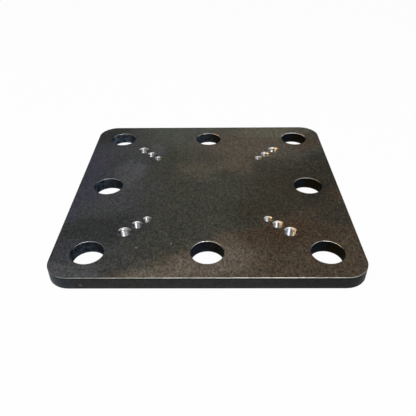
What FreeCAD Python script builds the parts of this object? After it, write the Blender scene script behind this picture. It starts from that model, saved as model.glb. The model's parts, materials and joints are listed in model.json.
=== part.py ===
# A vise adapter plate, cut from one piece of hot-rolled steel plate.
#
# The plate lies flat. The large holes, three along each side, take the clamping bolts of a
# welding table whose bores stand on a square grid. Between the centre and each corner hole, three
# smaller tapped holes stand on the diagonal. Each size of thread makes one square pattern, for the
# base of one size of vise.
#
# Frame: the origin is the middle of the underside, +Z is up and the sides lie along X and Y.
# All lengths are in millimetres.

import FreeCAD
import Part

import os

# The table's grid, and how many of its steps the plate spans between its outer holes.
TABLE_GRID = 100.0
GRID_STEPS = 2

# The plate round those holes.
EDGE_MARGIN = 30.0
PLATE_THICKNESS = 12.0
CORNER_RADIUS = 20.0

# The clamping holes, and the deburred edge of all that was cut by the laser.
CLAMP_HOLE_DIAMETER = 28.0
EDGE_BREAK = 0.5

# The tapped holes. SPACING is the side of the square that the four holes of one size stand on,
# DRILL the bore before it is tapped, and THREAD the thread's outer diameter.
SMALL_VISE_SPACING = 110.0
SMALL_VISE_DRILL = 6.8
SMALL_VISE_THREAD = 8.0

MEDIUM_VISE_SPACING = 126.0
MEDIUM_VISE_DRILL = 8.5
MEDIUM_VISE_THREAD = 10.0

LARGE_VISE_SPACING = 146.0
LARGE_VISE_DRILL = 10.2
LARGE_VISE_THREAD = 12.0

# How much wider than its thread each countersink is. Its wall leans at 45 degrees.
COUNTERSINK_OVERSIZE = 0.5

# How far a cutting tool stands out of the plate at each end.
TOOL_OVERRUN = 1.0

CLAMP_SPAN = GRID_STEPS * TABLE_GRID
PLATE_SIDE = CLAMP_SPAN + 2 * EDGE_MARGIN
CLAMP_HOLE_RADIUS = CLAMP_HOLE_DIAMETER / 2

TAPPED_HOLES = (
    (SMALL_VISE_SPACING, SMALL_VISE_DRILL, SMALL_VISE_THREAD),
    (MEDIUM_VISE_SPACING, MEDIUM_VISE_DRILL, MEDIUM_VISE_THREAD),
    (LARGE_VISE_SPACING, LARGE_VISE_DRILL, LARGE_VISE_THREAD),
)


def square_outline(side, radius, z):
    """The closed outline of a square with round corners, at height z."""
    straight = side / 2 - radius
    half = side / 2
    turn = radius * 2 ** -0.5
    edges = []
    for quarter in range(4):
        corner = FreeCAD.Rotation(FreeCAD.Vector(0, 0, 1), 90 * quarter)
        points = [
            FreeCAD.Vector(half, -straight, z),
            FreeCAD.Vector(half, straight, z),
            FreeCAD.Vector(straight + turn, straight + turn, z),
            FreeCAD.Vector(straight, half, z),
        ]
        start, end, middle, next_start = [corner.multVec(p) for p in points]
        edges.append(Part.makeLine(start, end))
        edges.append(Part.Arc(end, middle, next_start).toShape())
    return Part.Wire(edges)


def slab(side, radius, thickness, edge_break):
    """The plate before drilling, with the edges of both faces broken at 45 degrees."""
    rings = [
        square_outline(side - 2 * edge_break, radius - edge_break, 0),
        square_outline(side, radius, edge_break),
        square_outline(side, radius, thickness - edge_break),
        square_outline(side - 2 * edge_break, radius - edge_break, thickness),
    ]
    layers = [Part.makeLoft(list(pair), True, True) for pair in zip(rings, rings[1:])]
    return layers[0].fuse(layers[1:]).removeSplitter()


def hole_tool(bore_radius, mouth_radius, thickness):
    """What a through hole removes: a bore whose two mouths open at 45 degrees to mouth_radius."""
    depth = mouth_radius - bore_radius
    profile = [
        FreeCAD.Vector(0, 0, -TOOL_OVERRUN),
        FreeCAD.Vector(mouth_radius + TOOL_OVERRUN, 0, -TOOL_OVERRUN),
        FreeCAD.Vector(bore_radius, 0, depth),
        FreeCAD.Vector(bore_radius, 0, thickness - depth),
        FreeCAD.Vector(mouth_radius + TOOL_OVERRUN, 0, thickness + TOOL_OVERRUN),
        FreeCAD.Vector(0, 0, thickness + TOOL_OVERRUN),
    ]
    face = Part.Face(Part.makePolygon(profile + profile[:1]))
    return face.revolve(FreeCAD.Vector(0, 0, 0), FreeCAD.Vector(0, 0, 1), 360)


def clamp_hole_centres():
    """The points of the table's grid that lie along the plate's four sides."""
    steps = range(GRID_STEPS + 1)
    ends = (0, GRID_STEPS)
    along_sides = [(i, j) for i in steps for j in steps if i in ends or j in ends]
    start = -CLAMP_SPAN / 2
    return [(start + i * TABLE_GRID, start + j * TABLE_GRID) for i, j in along_sides]


def square_pattern(spacing):
    """The four corners of a square about the plate's centre."""
    half = spacing / 2
    return [(half, half), (-half, half), (-half, -half), (half, -half)]


def adapter_plate():
    """The whole plate: the slab, less its clamping holes and its tapped holes."""
    clamp_mouth = CLAMP_HOLE_RADIUS + EDGE_BREAK
    clamp_tool = hole_tool(CLAMP_HOLE_RADIUS, clamp_mouth, PLATE_THICKNESS)
    placed = [(clamp_tool, centre) for centre in clamp_hole_centres()]
    for spacing, drill, thread in TAPPED_HOLES:
        mouth = (thread + COUNTERSINK_OVERSIZE) / 2
        tapped_tool = hole_tool(drill / 2, mouth, PLATE_THICKNESS)
        placed += [(tapped_tool, centre) for centre in square_pattern(spacing)]
    tools = []
    for tool, (x, y) in placed:
        moved = tool.copy()
        moved.translate(FreeCAD.Vector(x, y, 0))
        tools.append(moved)
    return slab(PLATE_SIDE, CORNER_RADIUS, PLATE_THICKNESS, EDGE_BREAK).cut(tools)


def main():
    os.makedirs("parts", exist_ok=True)
    plate = adapter_plate().Solids[0]
    plate.exportStep("parts/adapter_plate.step")
    box = plate.BoundBox
    print(f"adapter_plate: {box.XLength:.2f} x {box.YLength:.2f} x {box.ZLength:.2f} mm")
    print(f"valid: {plate.isValid()}, faces: {len(plate.Faces)}, volume: {plate.Volume / 1000:.2f} cm3")


main()
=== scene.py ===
import json
import math

import bmesh
import bpy
import numpy as np
from mathutils import Matrix, Vector
from mathutils.geometry import delaunay_2d_cdt


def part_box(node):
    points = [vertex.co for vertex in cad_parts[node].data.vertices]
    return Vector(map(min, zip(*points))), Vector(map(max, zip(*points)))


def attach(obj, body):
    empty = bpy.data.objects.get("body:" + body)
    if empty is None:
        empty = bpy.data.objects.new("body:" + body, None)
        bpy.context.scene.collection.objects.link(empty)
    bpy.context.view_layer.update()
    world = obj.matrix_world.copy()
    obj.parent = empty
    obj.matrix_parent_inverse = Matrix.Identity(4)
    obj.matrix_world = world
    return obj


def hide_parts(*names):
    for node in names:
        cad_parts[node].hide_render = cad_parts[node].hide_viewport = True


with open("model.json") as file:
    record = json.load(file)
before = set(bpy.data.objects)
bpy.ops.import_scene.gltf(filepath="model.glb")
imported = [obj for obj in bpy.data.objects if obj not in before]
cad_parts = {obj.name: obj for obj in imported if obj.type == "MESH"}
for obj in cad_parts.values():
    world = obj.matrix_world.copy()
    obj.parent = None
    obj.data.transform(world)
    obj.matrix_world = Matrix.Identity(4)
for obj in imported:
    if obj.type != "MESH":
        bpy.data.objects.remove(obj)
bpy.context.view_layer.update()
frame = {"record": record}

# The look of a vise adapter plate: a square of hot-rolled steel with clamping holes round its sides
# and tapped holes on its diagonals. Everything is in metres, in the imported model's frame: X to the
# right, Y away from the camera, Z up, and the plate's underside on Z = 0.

MM = 0.001

# The plate's own sizes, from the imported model.
PLATE = "adapter_plate"
plate_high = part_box(PLATE)[1]
HALF_SIDE = plate_high.x
THICKNESS = plate_high.z
HOLE_PATTERNS = {mount["name"]: mount["dims"] for mount in frame["record"]["mounts"]}
CLAMP_RADIUS = HOLE_PATTERNS["table_corner_holes"]["hole_r_mm"] * MM
CLAMP_SPAN = HOLE_PATTERNS["table_corner_holes"]["spacing_x_mm"] * MM

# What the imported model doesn't say: the corners, and how far the cut edges are rounded.
CORNER_RADIUS = 20 * MM
OUTLINE_ROUND = 0.55 * MM
RIM_ROUND = 0.4 * MM

# The threads, as (outer diameter, pitch), and the rim that the countersink adds to each side.
THREADS = {
    "vise_holes_m12": (12 * MM, 1.75 * MM),
    "vise_holes_m10": (10 * MM, 1.5 * MM),
    "vise_holes_m8": (8 * MM, 1.25 * MM),
}
COUNTERSINK_RIM = 0.25 * MM

# The bare steel of a countersink gives way to the threads' between these depths, in millimetres.
MOUTH_DEPTHS = (1.2, 1.5)

# How finely the curves are cut.
CORNER_STEPS = 32
SIDE_STEPS = 24
ROUND_STEPS = 5
CLAMP_STEPS = 176
THREAD_STEPS = 64

# Points closer than this are one, and an edge that turns by more than this angle stays sharp.
WELD = 1e-7
SHARP_TURN = math.radians(35)

# The photo's camera: turns in degrees, its place, and its lens in millimetres.
CAMERA_DOWN, CAMERA_YAW, CAMERA_ROLL = 36.184, -0.727, 0.609
CAMERA_PLACE = (4.683 * MM, -388.237 * MM, 268.28 * MM)
CAMERA_LENS = 40.05

# The floor is a square of twice this reach, a little below the plate.
FLOOR_REACH = 4.0
FLOOR_GAP = 0.1 * MM

# The finishes, in the order of the mesh's material slots.
MILL_SCALE, CUT_FACE, RUBBED_AND_HIGHLIT_EDGE, MACHINED = range(4)


class PlateMesh:
    """The points and faces of the plate, gathered piece by piece."""

    def __init__(self):
        self.points = []
        self.faces = []
        self.finishes = []
        self.smooth = []
        self.count = 0

    def add_points(self, grid):
        """Takes an array of points, (..., 3), and gives back their numbers in the same layout."""
        numbers = self.count + np.arange(grid[..., 0].size).reshape(grid.shape[:-1])
        self.points.append(grid.reshape(-1, 3))
        self.count += numbers.size
        return numbers

    def add_faces(self, corners, finish, smooth):
        """Takes faces as rows of point numbers, with one finish or one for each face."""
        self.faces += corners.tolist()
        self.finishes.append(np.broadcast_to(finish, len(corners)))
        self.smooth.append(np.full(len(corners), smooth))

    def add_grid(self, here, beside, finish):
        """Quads between each column of point numbers, here, and the next one, beside. Rows run up the
        wall, and the finish is one for each gap between rows."""
        corners = np.stack([here[:-1], beside[:-1], beside[1:], here[1:]], -1)
        finish = np.broadcast_to(np.asarray(finish)[:, None], corners.shape[:2])
        self.add_faces(corners.reshape(-1, 4), finish.reshape(-1), True)


def edge_profile(rounding):
    """The cut edge from the underside to the top face: offsets into the metal, heights and finishes.
    The two roundings are quarter circles, and the wall between them is straight."""
    turn = np.linspace(0, math.pi / 2, ROUND_STEPS + 1)
    offset = rounding * (1 - np.sin(turn))
    height = rounding * (1 - np.cos(turn))
    offsets = np.concatenate([offset, offset[::-1]])
    heights = np.concatenate([height, THICKNESS - height[::-1]])
    finishes = [RUBBED_AND_HIGHLIT_EDGE] * ROUND_STEPS + [CUT_FACE] + [RUBBED_AND_HIGHLIT_EDGE] * ROUND_STEPS
    return offsets, heights, finishes


def outline_path():
    """Centres and outward normals round the plate, anticlockwise. A point of the outline is its centre
    plus CORNER_RADIUS times its normal: the centre walks the inner square's sides while the normal
    rests, and rests at its corners while the normal turns through 90 degrees."""
    walk = np.concatenate([np.linspace(0, 1, SIDE_STEPS, endpoint=False), np.ones(CORNER_STEPS)])
    turn = np.concatenate([np.zeros(SIDE_STEPS), np.linspace(0, 1, CORNER_STEPS, endpoint=False)])
    quarter = np.repeat(np.arange(4), walk.size)
    walk, turn = np.tile(walk, 4)[:, None], np.tile(turn, 4)
    reach = (HALF_SIDE - CORNER_RADIUS) * math.sqrt(2)

    def around(quarters, radius):
        angle = quarters * math.pi / 2
        return radius * np.stack([np.cos(angle), np.sin(angle)], -1)

    centres = (1 - walk) * around(quarter - 0.5, reach) + walk * around(quarter + 0.5, reach)
    return centres, around(quarter + turn, 1.0)


def wall_points(centres, normals, radii, heights):
    """A profile carried along a path: each row stands at one height, and each of its points is the
    path's centre plus that row's radius times the path's normal."""
    level = centres[None] + radii[:, None, None] * normals[None]
    height = np.broadcast_to(heights[:, None, None], level.shape[:2] + (1,))
    return np.concatenate([level, height], -1)


def add_outer_wall(mesh):
    """The plate's outside edge. Returns the numbers of its lowest and highest rings of points."""
    offsets, heights, finishes = edge_profile(OUTLINE_ROUND)
    centres, normals = outline_path()
    numbers = mesh.add_points(wall_points(centres, normals, CORNER_RADIUS - offsets, heights))
    mesh.add_grid(numbers, np.roll(numbers, -1, 1), finishes)
    return numbers[0], numbers[-1]


def circle_path(centre, steps):
    """Centres and normals once round a hole, clockwise, so that its wall faces its axis."""
    angle = -2 * math.pi * np.arange(steps) / steps
    normals = np.stack([np.cos(angle), np.sin(angle)], -1)
    return np.broadcast_to(centre, normals.shape), normals


def add_clamp_hole(mesh, centre):
    """A plain bore with rounded mouths. Returns the numbers of its lowest and highest rings."""
    offsets, heights, finishes = edge_profile(RIM_ROUND)
    centres, normals = circle_path(centre, CLAMP_STEPS)
    numbers = mesh.add_points(wall_points(centres, normals, CLAMP_RADIUS + offsets, heights))
    mesh.add_grid(numbers, np.roll(numbers, -1, 1), finishes)
    return numbers[0], numbers[-1]


def add_tapped_hole(mesh, centre, bore_radius, diameter, pitch):
    """A threaded bore. Over one pitch its radius is the bore's for a quarter, rises over 5/16 to the
    thread's outer radius, keeps that for an eighth and falls again. A row of points climbs one pitch
    in each turn. A countersink at 45 degrees widens both ends: the radius is the larger of the
    thread's and mouth radius less the depth below the nearer face. Rows that would stand outside the
    plate are drawn in to its face. Returns the numbers of the lowest and highest rings."""
    outer_radius = diameter / 2
    mouth_radius = outer_radius + COUNTERSINK_RIM
    phases = np.array([0, 0.125, 0.25, 0.406, 0.5625, 0.6875, 0.844])
    rise = np.array([0, 0, 0, 0.5, 1, 1, 0.5])
    turns = math.ceil(THICKNESS / pitch) + 2
    row_turn = (np.arange(turns)[:, None] + phases[None]).reshape(-1)
    row_rise = np.tile(rise, turns)
    column_turn = np.arange(THREAD_STEPS) / THREAD_STEPS
    height = pitch * (row_turn[:, None] + column_turn[None] - 1)
    height = np.clip(height, 0, THICKNESS)
    depth = np.minimum(height, THICKNESS - height)
    thread = bore_radius + (outer_radius - bore_radius) * row_rise[:, None]
    radius = np.maximum(thread, mouth_radius - depth)
    centres, normals = circle_path(centre, THREAD_STEPS)
    level = centres[None] + radius[..., None] * normals[None]
    numbers = mesh.add_points(np.concatenate([level, height[..., None]], -1))
    # After a whole turn, each row meets the one that stands a pitch above it.
    above = np.minimum(np.arange(len(numbers)) + phases.size, len(numbers) - 1)
    beside = np.concatenate([numbers[:, 1:], numbers[above, :1]], 1)
    mesh.add_grid(numbers, beside, [MACHINED] * (len(numbers) - 1))
    return numbers[0], numbers[-1]


def add_flat_face(mesh, rings, holes, upwards):
    """A flat face between the outline and the mouths of the holes: the triangles that join the rings'
    points without crossing a ring, less those whose middle lies in a hole."""
    points = np.concatenate(mesh.points)
    numbers = np.concatenate(rings)
    edges = []
    start = 0
    for ring in rings:
        steps = np.arange(len(ring))
        edges.append(start + np.stack([steps, np.roll(steps, -1)], -1))
        start += len(ring)
    flat = points[numbers, :2] / MM
    found = delaunay_2d_cdt(flat.tolist(), np.concatenate(edges).tolist(), [], 0, 1e-6)
    triangles = np.array(found[2])
    middles = flat[triangles].mean(1)
    centres, radii = holes
    apart = np.linalg.norm(middles[:, None] - centres[None] / MM, axis=-1)
    triangles = triangles[(apart > radii / MM).all(1)]
    corners = flat[triangles]
    first, second = corners[:, 1] - corners[:, 0], corners[:, 2] - corners[:, 0]
    facing_up = first[:, 0] * second[:, 1] > first[:, 1] * second[:, 0]
    triangles = np.where((facing_up == upwards)[:, None], triangles, triangles[:, ::-1])
    mesh.add_faces(numbers[triangles], MILL_SCALE, False)


def square_centres(spacing):
    """The corners of a square about the plate's centre."""
    return [np.array([x, y]) * spacing / 2 for x in (-1, 1) for y in (-1, 1)]


def plate_mesh():
    """The whole plate as one closed mesh."""
    mesh = PlateMesh()
    low_rings, high_rings = map(list, zip(add_outer_wall(mesh)))
    centres, radii = [], []
    sides = [np.array(way) * CLAMP_SPAN / 2 for way in ((-1, 0), (1, 0), (0, -1), (0, 1))]
    for centre in square_centres(CLAMP_SPAN) + sides:
        low, high = add_clamp_hole(mesh, centre)
        low_rings.append(low)
        high_rings.append(high)
        centres.append(centre)
        radii.append(CLAMP_RADIUS + RIM_ROUND)
    for name, (diameter, pitch) in THREADS.items():
        pattern = HOLE_PATTERNS[name]
        for centre in square_centres(pattern["spacing_x_mm"] * MM):
            low, high = add_tapped_hole(mesh, centre, pattern["hole_r_mm"] * MM, diameter, pitch)
            low_rings.append(low)
            high_rings.append(high)
            centres.append(centre)
            radii.append(diameter / 2 + COUNTERSINK_RIM)
    holes = np.array(centres), np.array(radii)
    add_flat_face(mesh, low_rings, holes, upwards=False)
    add_flat_face(mesh, high_rings, holes, upwards=True)

    data = bpy.data.meshes.new("adapter_plate_steel")
    data.from_pydata(np.concatenate(mesh.points).tolist(), [], mesh.faces)
    data.polygons.foreach_set("material_index", np.concatenate(mesh.finishes).astype(np.int32))
    data.polygons.foreach_set("use_smooth", np.concatenate(mesh.smooth))
    welded = bmesh.new()
    welded.from_mesh(data)
    bmesh.ops.remove_doubles(welded, verts=welded.verts, dist=WELD)
    welded.to_mesh(data)
    welded.free()
    data.set_sharp_from_angle(angle=SHARP_TURN)
    return data


# Materials. A pattern's sizes are in millimetres on the plate, and a tone is a colour as it looks on
# the screen, from 0 to 255.

# The tones of the mill scale, and the ovals of the plate where each one lies over those before it, as
# (tone, middle, half its width and half its depth). The paler ovals at the back are partly the scale's
# own tone and partly a painted sheen, and the darker umber ovals at the right edge are painted shade.
SCALE_TONES = {
    "olive": (61, 61, 54),
    "charcoal": (50, 51, 50),
    "grey": (64, 64, 65),
    "cool": (60, 60, 68),
    "pale grey": (76, 76, 77),
    "pale olive": (76, 77, 70),
    "tan": (84, 77, 66),
    "sand": (78, 73, 63),
    "cream": (92, 88, 75),
    "umber": (52, 49, 40),
    "umber in painted shade": (46, 43, 35),
    "brown": (72, 62, 50),
    "buff": (97, 88, 77),
    "russet": (64, 52, 40),
}
SCALE_PATCHES = (
    ("grey", (-92, 0), (56, 210)),
    ("cool", (-132, 0), (46, 190)),
    ("charcoal", (-117, 114), (40, 40)),
    ("grey", (-100, -42), (26, 22)),
    ("charcoal", (-96, -70), (58, 34)),
    ("pale grey", (-116, -122), (40, 22)),
    ("pale grey", (-80, 22), (22, 38)),
    ("pale grey", (-57, 76), (15, 17)),
    # Pale olive, tan and cream at the back: partly the scale's own tone and partly a painted sheen.
    ("pale olive", (-22, 118), (86, 66)),
    ("tan", (46, 82), (88, 54)),
    ("brown", (112, 92), (34, 24)),
    ("sand", (-10, 32), (36, 34)),
    ("tan", (30, 42), (24, 26)),
    ("cream", (74, 122), (74, 30)),
    ("umber", (92, 0), (72, 62)),
    ("umber", (60, -42), (62, 34)),
    # Umber painted darker at the right edge, as painted shade.
    ("umber in painted shade", (127, 34), (35, 47)),
    ("umber in painted shade", (118, -18), (38, 42)),
    ("russet", (132, -30), (24, 44)),
)
# Along the front the scale is brown, beyond a line through the first point in the second's direction.
FRONT_CORNER = (-72, -122)
FRONT_LINE = (0.889, 0.457)
FRONT_PATCHES = (
    ("buff", (6, -106), (46, 36)),
    ("buff", (-34, -122), (54, 24)),
    ("russet", (76, -72), (60, 34)),
    ("umber", (120, -42), (36, 31)),
)
# Chips down to bare metal.
CHIPS = ((-60, -94), (-31, -89))


def new_material(name):
    """An empty material with a Principled shader: (the material, its tree, the shader)."""
    made = bpy.data.materials.new(name)
    made.use_nodes = True
    return made, made.node_tree, made.node_tree.nodes["Principled BSDF"]


def node(tree, kind, sockets, output=0, **settings):
    """A new shader node, with its settings and with its sockets set or linked. Returns one output."""
    made = tree.nodes.new("ShaderNode" + kind)
    for name, value in settings.items():
        setattr(made, name, value)
    for name, value in sockets.items():
        if isinstance(value, bpy.types.NodeSocket):
            tree.links.new(value, made.inputs[name])
        else:
            made.inputs[name].default_value = value
    return made.outputs[output]


def plate_places(tree, stretch=(1, 1, 1)):
    """Places on the plate in millimetres, with each axis times its stretch."""
    places = node(tree, "TexCoord", {}, "Object")
    return node(tree, "VectorMath", {0: places, 1: tuple(s / MM for s in stretch)}, operation="MULTIPLY")


def noise(tree, places, size, detail=2.0, roughness=0.5, output="Fac"):
    """Cloudy noise from 0 to 1, whose blots are about size across."""
    sockets = {"Vector": places, "Scale": 1 / size, "Detail": detail, "Roughness": roughness}
    return node(tree, "TexNoise", sockets, output)


def wandering(tree, places, size, reach):
    """The places moved along the plate by noise, by up to about a fifth of reach each way."""
    wander = noise(tree, places, size, 4, 0.6, "Color")
    wander = node(tree, "VectorMath", {0: wander, 1: (0.5, 0.5, 0.5)}, operation="SUBTRACT")
    return node(tree, "VectorMath", {0: wander, 1: (reach, reach, 0), 2: places}, operation="MULTIPLY_ADD")


def span(tree, value, low, high, to_low=0.0, to_high=1.0, shape="SMOOTHSTEP"):
    """The value's stretch from low to high, made to run from to_low to to_high and held beyond them."""
    sockets = {"Value": value, "From Min": low, "From Max": high, "To Min": to_low, "To Max": to_high}
    return node(tree, "MapRange", sockets, interpolation_type=shape)


def maths(tree, operation, first, second):
    """One step of arithmetic on two values."""
    return node(tree, "Math", {0: first, 1: second}, operation=operation)


def absolute(tree, value):
    """The value without its sign."""
    return node(tree, "Math", {0: value}, operation="ABSOLUTE")


def blend_colours(tree, share, first, second, way="MIX"):
    """The first colour mixed with the second, by share."""
    return node(tree, "Mix", {0: share, 6: first, 7: second}, 2, data_type="RGBA", blend_type=way)


def shaded(tree, base, factor):
    """The base colour times a factor."""
    return blend_colours(tree, 1.0, base, factor, "MULTIPLY")


def sway(tree, value, amount):
    """A factor about 1 that follows noise: 1 less the amount where the noise is 0.3, and 1 plus it at 0.7."""
    swing = maths(tree, "SUBTRACT", value, 0.5)
    swing = maths(tree, "MULTIPLY", swing, 5.0)
    return node(tree, "Math", {0: swing, 1: amount, 2: 1.0}, operation="MULTIPLY_ADD")


def colour(red, green, blue):
    """A tone in the linear numbers that shaders take."""
    shown = np.array([red, green, blue]) / 255
    linear = np.where(shown <= 0.04045, shown / 12.92, ((shown + 0.055) / 1.055) ** 2.4)
    return (*linear.tolist(), 1.0)


def axis_value(tree, places, axis):
    """One of the places' coordinates, X, Y or Z."""
    return node(tree, "SeparateXYZ", {"Vector": places}, axis)


def along(tree, places, origin, direction):
    """How far each place lies from the origin in a direction on the plate."""
    moved = node(tree, "VectorMath", {0: places, 1: (*origin, 0)}, operation="SUBTRACT")
    return node(tree, "VectorMath", {0: moved, 1: (*direction, 0)}, "Value", operation="DOT_PRODUCT")


def patch(tree, places, middle, reach, core=0.25):
    """A soft-edged oval: 1 within its core and 0 at its rim. Given in X and Y alone, it goes through
    the whole thickness of the plate."""
    middle = (*middle, 0)[:3]
    scale = (*(1 / r for r in reach), 0)[:3]
    moved = node(tree, "VectorMath", {0: places, 1: middle}, operation="SUBTRACT")
    scaled = node(tree, "VectorMath", {0: moved, 1: scale}, operation="MULTIPLY")
    distance = node(tree, "VectorMath", {0: scaled}, "Value", operation="LENGTH")
    return span(tree, distance, 1.0, core)


def add_patches(tree, base, places, patches):
    """The base colour with each patch's tone laid over those before it."""
    for tone, middle, reach in patches:
        base = blend_colours(tree, patch(tree, places, middle, reach), base, colour(*SCALE_TONES[tone]))
    return base


def bump(tree, height, depth):
    """A normal from a height of 0 to 1 that stands for a depth in millimetres."""
    return node(tree, "Bump", {"Height": height, "Distance": depth * MM, "Strength": 1.0})


def mill_scale():
    """The rolled faces: dark oxide, cool and smooth to the left, olive in the middle, tan towards the
    back right, paler at the back partly as a painted sheen, darker at the right edge as painted shade,
    and brown and speckled along the front."""
    made, tree, shader = new_material("mill_scale")
    places = plate_places(tree)
    ragged = wandering(tree, places, 30, 44)

    base = add_patches(tree, colour(*SCALE_TONES["olive"]), ragged, SCALE_PATCHES)
    front = add_patches(tree, colour(*SCALE_TONES["brown"]), ragged, FRONT_PATCHES)
    past_line = along(tree, ragged, FRONT_CORNER, (FRONT_LINE[1], -FRONT_LINE[0]))
    base = blend_colours(tree, span(tree, past_line, -8, 12), base, front)

    # The finer marks are strongest at the front right and faint at the back left.
    busy = span(tree, along(tree, places, (0, 0), (0.8, -0.6)), -110, 90, 0.6, 0.98, "LINEAR")
    cloud = noise(tree, places, 20, 4, 0.6)
    base = shaded(tree, base, sway(tree, cloud, 0.1))
    # Red, green and blue wander apart, each by about 6 percent.
    tinge = noise(tree, places, 9, 4, 0.65, "Color")
    tinge = {0: tinge, 1: (0.3, 0.3, 0.3), 2: (0.91, 0.93, 0.95)}
    tinge = node(tree, "VectorMath", tinge, operation="MULTIPLY_ADD")
    base = shaded(tree, base, tinge)
    streaks = noise(tree, plate_places(tree, (1, 0.1, 1)), 3.2, 4, 0.7)
    streaky = span(tree, axis_value(tree, places, "Y"), -80, 60, 0.03, 0.12)
    base = shaded(tree, base, sway(tree, streaks, streaky))
    mottle = noise(tree, plate_places(tree, (1, 0.7, 1)), 3.8, 4, 0.7)
    base = shaded(tree, base, sway(tree, mottle, maths(tree, "MULTIPLY", busy, 0.39)))
    grit = noise(tree, plate_places(tree, (1, 0.6, 1)), 1.7, 3, 0.7)
    base = shaded(tree, base, sway(tree, grit, maths(tree, "MULTIPLY", busy, 0.66)))
    specks = span(tree, noise(tree, places, 2.2, 2, 0.6), 0.40, 0.30)
    specks = maths(tree, "MULTIPLY", specks, maths(tree, "MULTIPLY", busy, 0.6))
    base = blend_colours(tree, specks, base, colour(22, 20, 18))
    grains = span(tree, noise(tree, places, 2.0, 3, 0.7), 0.60, 0.72)
    grains = maths(tree, "MULTIPLY", grains, maths(tree, "MULTIPLY", busy, 0.4))
    base = blend_colours(tree, grains, base, colour(135, 128, 116))
    for place in CHIPS:
        base = blend_colours(tree, patch(tree, places, place, (1.2, 1.4)), base, colour(132, 130, 116))
    # The scale is paler in a thin crescent just behind the right hole at the back.
    pale_crescent = patch(tree, places, (100, 99.2), (16.2, 16.2), 0.95)
    pale_crescent = maths(tree, "MULTIPLY", pale_crescent, span(tree, axis_value(tree, places, "Y"), 103, 109))
    base = blend_colours(tree, pale_crescent, base, colour(186, 182, 170))
    tree.links.new(base, shader.inputs["Base Color"])

    tree.links.new(span(tree, cloud, 0.3, 0.7, 0.52, 0.64), shader.inputs["Roughness"])
    shader.inputs["Specular IOR Level"].default_value = 0.06
    grain = noise(tree, places, 0.9, 4, 0.6)
    tree.links.new(bump(tree, grain, 0.03), shader.inputs["Normal"])
    return made


def outside_share(tree, places):
    """1 on the plate's outside edge and 0 in its holes."""
    spread = node(tree, "VectorMath", {0: places}, operation="ABSOLUTE")
    farther = maths(tree, "MAXIMUM", axis_value(tree, spread, "X"), axis_value(tree, spread, "Y"))
    return span(tree, farther, 116, 121)


def cut_face():
    """The walls that the laser left, with fine upright furrows: dark grey oxide outside, blue towards
    the left corner and darkest at the right one. In the holes they are painted nearly black, as painted
    shade, apart from a paler one at the back left."""
    made, tree, shader = new_material("cut_face")
    places = plate_places(tree)
    furrow = noise(tree, plate_places(tree, (1, 1, 0.06)), 0.45, 2, 0.6)
    cloud = noise(tree, places, 5, 4, 0.7)
    leftness = span(tree, axis_value(tree, places, "X"), 60, -130)
    outside = blend_colours(tree, span(tree, cloud, 0.35, 0.65), colour(38, 39, 40), colour(50, 50, 48))
    outside = shaded(tree, outside, span(tree, axis_value(tree, places, "X"), 20, 110, 1.0, 0.62))
    corner = patch(tree, places, (-130, -112), (34, 40))
    outside = blend_colours(tree, corner, outside, colour(52, 61, 69))
    outside = shaded(tree, outside, span(tree, axis_value(tree, places, "X"), 110, 126, 1.0, 0.45))
    scuff = patch(tree, places, (-100, -130, 4), (2.6, 8, 2.2))
    outside = blend_colours(tree, maths(tree, "MULTIPLY", scuff, 0.35), outside, colour(112, 106, 92))
    outside = shaded(tree, outside, span(tree, axis_value(tree, places, "Z"), 9.9, 10.6, 1.0, 0.35))
    turn = axis_value(tree, node(tree, "TexCoord", {}, "Normal"), "X")
    # In the holes the walls are painted much darker than outside, as painted shade.
    shaded_right_holes = blend_colours(tree, span(tree, turn, -0.4, 0.5), colour(26, 22, 15), colour(25, 32, 39))
    mottled = maths(tree, "MULTIPLY", span(tree, cloud, 0.38, 0.64), span(tree, turn, -0.7, 0.1))
    shaded_left_holes = blend_colours(tree, mottled, colour(29, 34, 39), colour(66, 74, 85))
    shaded_left_holes = shaded(tree, shaded_left_holes, span(tree, axis_value(tree, places, "Y"), 50, 90, 1.0, 2.1))
    shaded_hole_walls = blend_colours(tree, leftness, shaded_right_holes, shaded_left_holes)
    outer = outside_share(tree, places)
    base = blend_colours(tree, outer, shaded_hole_walls, outside)
    base = shaded(tree, base, sway(tree, furrow, 0.12))
    tree.links.new(base, shader.inputs["Base Color"])
    shader.inputs["Roughness"].default_value = 0.5
    shader.inputs["Metallic"].default_value = 0.1
    tree.links.new(span(tree, outer, 0, 1, 0, 0.08), shader.inputs["Specular IOR Level"])
    tree.links.new(bump(tree, furrow, 0.03), shader.inputs["Normal"])
    return made


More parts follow.
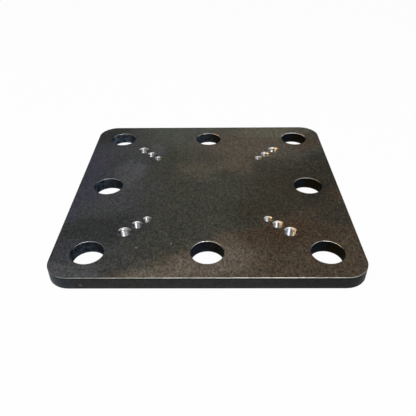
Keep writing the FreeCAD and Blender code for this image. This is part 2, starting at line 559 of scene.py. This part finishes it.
def rubbed_and_highlit_edge():
    """The deburred edges. The front side's and the backs of the holes' are bare steel, bright partly in
    its own colour and partly as a painted highlight, and the rest are dark as scale, partly as painted shade."""
    made, tree, shader = new_material("rubbed_and_highlit_edge")
    places = plate_places(tree)
    frontness = span(tree, axis_value(tree, places, "Y"), -112, -127)
    leftness = span(tree, axis_value(tree, places, "X"), -70, -125)
    worn = noise(tree, places, 5, 4, 0.6)
    # The front edge's bright colour is partly a painted highlight: cooler and dimmer to the left, dimmer to
    # the right.
    front_edge_highlight = blend_colours(tree, leftness, colour(178, 177, 170), colour(140, 142, 146))
    front_edge_highlight = shaded(tree, front_edge_highlight, span(tree, worn, 0.35, 0.6, 0.7, 1.0))
    front_edge_highlight = shaded(tree, front_edge_highlight, span(tree, axis_value(tree, places, "X"), 50, 110, 1.0, 0.6))
    # The hole rims are bare where they face the front; their bright colour is partly a painted highlight,
    # cooler and dimmer in the left holes and dimmer in a patch on the right.
    facing = node(tree, "TexCoord", {}, "Normal")
    highlit_hole_backs = span(tree, axis_value(tree, facing, "Y"), -0.15, -0.5)
    rim = blend_colours(tree, span(tree, worn, 0.45, 0.36), colour(228, 227, 221), colour(158, 155, 146))
    rim = blend_colours(tree, leftness, rim, colour(142, 147, 156))
    dimmer_highlight = patch(tree, places, (110, 2), (30, 28))
    rim = shaded(tree, rim, span(tree, dimmer_highlight, 0, 1, 1.0, 0.4))
    outer = outside_share(tree, places)
    bare = span(tree, outer, 0, 1, highlit_hole_backs, frontness, "LINEAR")
    steel = blend_colours(tree, outer, rim, front_edge_highlight)
    base = blend_colours(tree, bare, colour(24, 25, 25), steel)
    tree.links.new(base, shader.inputs["Base Color"])
    tree.links.new(bare, shader.inputs["Metallic"])
    shader.inputs["Roughness"].default_value = 0.42
    shader.inputs["Specular IOR Level"].default_value = 0.1
    return made


def machined():
    """The tapped bores: bare steel, brighter in the threads than in the countersinks at both ends, with
    painted shade on their sides. The tap's marks run round each bore, so a reflection in the threads is
    drawn out along its axis."""
    made, tree, shader = new_material("machined")
    places = plate_places(tree)
    rings = noise(tree, plate_places(tree, (0.15, 0.15, 1)), 0.3, 2, 0.6)
    threads = blend_colours(tree, span(tree, rings, 0.3, 0.7), colour(198, 199, 202), colour(214, 215, 218))
    half = THICKNESS / MM / 2
    from_middle = absolute(tree, maths(tree, "SUBTRACT", axis_value(tree, places, "Z"), half))
    mouth = span(tree, from_middle, half - MOUTH_DEPTHS[1], half - MOUTH_DEPTHS[0])
    # Both have painted shade on their left and right sides, which leaves the fronts and backs bright: the
    # threads for about 50 degrees each way, and the countersinks for 65. In the right half of the plate,
    # the threads' right sides are left bright as well, past a painted dark line, but the front M8 hole's
    # side is all painted dark.
    facing = node(tree, "TexCoord", {}, "Normal")
    facing = node(tree, "VectorMath", {0: facing, 1: (1, 1, 0)}, operation="MULTIPLY")
    facing = node(tree, "VectorMath", {0: facing}, operation="NORMALIZE")
    sideways = axis_value(tree, facing, "X")
    lengthwise = absolute(tree, along(tree, facing, (0, 0), (-0.08, -1.0)))
    unshaded_right_sides = maths(tree, "MULTIPLY", span(tree, sideways, -0.3, -0.45), span(tree, lengthwise, 0.36, 0.5))
    front_m8_shade = patch(tree, places, (55, -55), (6, 6), 0.9)
    painted_dark_line = maths(tree, "MAXIMUM", span(tree, sideways, -0.46, -0.38), front_m8_shade)
    painted_dark_line = maths(tree, "MULTIPLY", span(tree, sideways, -0.18, -0.24), painted_dark_line)
    right_half = span(tree, axis_value(tree, places, "X"), -5, 5)
    unshaded_right_sides, painted_dark_line = (maths(tree, "MULTIPLY", part, right_half) for part in (unshaded_right_sides, painted_dark_line))
    # The threads keep their colour towards the front and back and on the unshaded right sides, and are
    # painted darker elsewhere, as painted shade.
    share = maths(tree, "MAXIMUM", span(tree, lengthwise, 0.84, 0.42, 1.0, 0.12), unshaded_right_sides)
    threads = shaded(tree, shaded(tree, threads, share), span(tree, painted_dark_line, 0, 1, 1.0, 0.3))
    # The countersinks are painted darker on their sides as well, as painted shade.
    lengthwise = absolute(tree, along(tree, facing, (0, 0), (0, -1.0)))
    mouths = shaded(tree, colour(188, 188, 187), span(tree, lengthwise, 0.5, 0.27, 1.0, 0.12))
    base = blend_colours(tree, mouth, threads, mouths)
    tree.links.new(base, shader.inputs["Base Color"])
    tree.links.new(span(tree, mouth, 0, 1, 0.95, 0), shader.inputs["Anisotropic"])
    shader.inputs["Metallic"].default_value = 1.0
    upright = node(tree, "CombineXYZ", {"Z": 1.0})
    tree.links.new(upright, shader.inputs["Tangent"])
    tree.links.new(span(tree, mouth, 0, 1, 0.36, 0.55), shader.inputs["Roughness"])
    return made


def seen_by_eye(tree):
    """1 where the camera sees a surface, straight, in a reflection or through glass, and 0 for its light."""
    ray = tree.nodes.new("ShaderNodeLightPath").outputs
    seen = maths(tree, "MAXIMUM", ray["Is Camera Ray"], ray["Is Glossy Ray"])
    return maths(tree, "MAXIMUM", seen, ray["Is Transmission Ray"])


def floor_material():
    """White to the eye and in reflections, with a little of the shadow that the plate throws."""
    made, tree, shader = new_material("floor_white")
    shader.inputs["Base Color"].default_value = (0.9, 0.9, 0.9, 1)
    shader.inputs["Roughness"].default_value = 1.0
    shader.inputs["Specular IOR Level"].default_value = 0.0
    glow = node(tree, "Emission", {"Color": (1, 1, 1, 1), "Strength": 1.0})
    share = maths(tree, "MULTIPLY", seen_by_eye(tree), 0.96)
    both = node(tree, "MixShader", {0: share, 1: shader.outputs[0], 2: glow})
    tree.links.new(both, tree.nodes["Material Output"].inputs["Surface"])
    return made


def add_plate():
    """The plate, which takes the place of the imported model's."""
    data = plate_mesh()
    for made in (mill_scale(), cut_face(), rubbed_and_highlit_edge(), machined()):
        data.materials.append(made)
    plate = bpy.data.objects.new("plate_steel", data)
    bpy.context.scene.collection.objects.link(plate)
    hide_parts(PLATE)
    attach(plate, "root")


def add_floor():
    """A level square under the plate, with its corners anticlockwise."""
    ways = ((-1, -1), (1, -1), (1, 1), (-1, 1))
    corners = [(x * FLOOR_REACH, y * FLOOR_REACH, -FLOOR_GAP) for x, y in ways]
    data = bpy.data.meshes.new("floor")
    data.from_pydata(corners, [], [(0, 1, 2, 3)])
    data.materials.append(floor_material())
    floor = bpy.data.objects.new("floor", data)
    bpy.context.scene.collection.objects.link(floor)


def add_world():
    """White straight ahead of the camera. In reflections it is as white as the floor near the floor,
    pale above that and dark overhead, and it lights the plate as a reflection shows it."""
    world = bpy.data.worlds.new("studio")
    world.use_nodes = True
    tree = world.node_tree
    toward = node(tree, "TexCoord", {}, "Generated")
    height = axis_value(tree, toward, "Z")
    sideways = span(tree, axis_value(tree, toward, "X"), -0.35, 0.45, 0.14, 0.44)
    plain = maths(tree, "MULTIPLY", sideways, span(tree, height, 0.5, 0.85, 1.0, 0.2))
    share = maths(tree, "MULTIPLY", seen_by_eye(tree), span(tree, height, 0.14, 0.08))
    ray = tree.nodes.new("ShaderNodeLightPath").outputs
    share = maths(tree, "MAXIMUM", share, ray["Is Camera Ray"])
    strength = span(tree, share, 0, 1, plain, 1.0, "LINEAR")
    background = tree.nodes["Background"]
    background.inputs["Color"].default_value = (1, 1, 1, 1)
    tree.links.new(strength, background.inputs["Strength"])
    bpy.context.scene.world = world


def add_lamp(name, place, target, length, size, brightness, tint=(1, 1, 1), spread=math.pi):
    """A soft rectangular lamp at place, facing the target. Its length runs in the direction given, and
    its size is (across, along). A brightness of 1 is a lit white wall's."""
    data = bpy.data.lights.new(name, "AREA")
    data.shape = "RECTANGLE"
    data.size, data.size_y = size
    data.energy = brightness * math.pi * size[0] * size[1]
    data.color = tint
    data.spread = spread
    if spread < math.pi:
        # A narrow lamp gathers its power by this much along its axis.
        half = spread / 2
        data.energy *= (math.tan(half) - half) / math.tan(half)
    lamp = bpy.data.objects.new(name, data)
    behind = (Vector(place) - Vector(target)).normalized()
    length = Vector(length)
    length = (length - length.dot(behind) * behind).normalized()
    turned = Matrix((length.cross(behind), length, behind)).transposed().to_4x4()
    lamp.matrix_world = Matrix.Translation(place) @ turned
    lamp.visible_camera = False
    bpy.context.scene.collection.objects.link(lamp)
    return lamp


def add_lamps():
    """A large soft lamp lights the plate and stays out of the reflections. The rest only show in the
    bare steel: a wide lamp over the camera, a narrow one overhead, whose reflection runs down each
    tapped bore, a panel on the right, and four small warm lamps on the left, two of them aimed at each
    group of bores in the right half."""
    fill = add_lamp("fill", (-0.3, -0.6, 1.6), (0, 0, 0), (0, 1, 0), (1.6, 1.6), 3.45)
    fill.visible_glossy = False
    softbox = add_lamp("softbox", (0, -0.75, 1.07), (0, 0, 0), (0, 1, 0), (2.6, 0.6), 1.9)
    strip = add_lamp("strip", (0.72, -1.25, 3.0), (0, 0, 0), (0.27, -0.96, 0), (0.36, 2.0), 27.0)
    panel = add_lamp("panel", (0.86, 0.3, 0.75), (0, 0, 0), (-0.3, 1, 0), (0.6, 1.2), 0.5)
    softbox.visible_diffuse = strip.visible_diffuse = panel.visible_diffuse = False
    warm = (1.0, 0.54, 0.15)
    narrow = math.radians(17)
    back, front = (0.066, 0.066, 0), (0.066, -0.066, 0)
    for name, place, target, brightness in (
        ("warm_back", (-0.28, 0.06, 0.41), back, 60.0),
        ("warm_back_beside", (-0.21, 0.27, 0.41), back, 52.0),
        ("warm_front", (-0.27, -0.08, 0.41), front, 60.0),
        ("warm_front_beside", (-0.21, 0.138, 0.41), front, 48.0),
    ):
        lamp = add_lamp(name, place, target, (0, 1, 0), (0.12, 0.16), brightness, warm, narrow)
        lamp.visible_diffuse = False


def add_camera():
    """The photo's own view: 36 degrees down on the plate, from a little right of its middle."""
    pitch, yaw, roll = (math.radians(turn) for turn in (CAMERA_DOWN, CAMERA_YAW, CAMERA_ROLL))
    ahead = Vector((math.sin(yaw) * math.cos(pitch), math.cos(yaw) * math.cos(pitch), -math.sin(pitch)))
    level = Vector((math.cos(yaw), -math.sin(yaw), 0))
    down = ahead.cross(level)
    right = math.cos(roll) * level + math.sin(roll) * down
    up = math.sin(roll) * level - math.cos(roll) * down
    data = bpy.data.cameras.new("camera")
    data.sensor_width = 36.0
    data.lens = CAMERA_LENS
    camera = bpy.data.objects.new("camera", data)
    turned = Matrix((right, up, -ahead)).transposed().to_4x4()
    camera.matrix_world = Matrix.Translation(CAMERA_PLACE) @ turned
    bpy.context.scene.collection.objects.link(camera)
    bpy.context.scene.camera = camera


add_plate()
add_floor()
add_world()
add_lamps()
add_camera()
bpy.context.scene.view_settings.view_transform = "Standard"
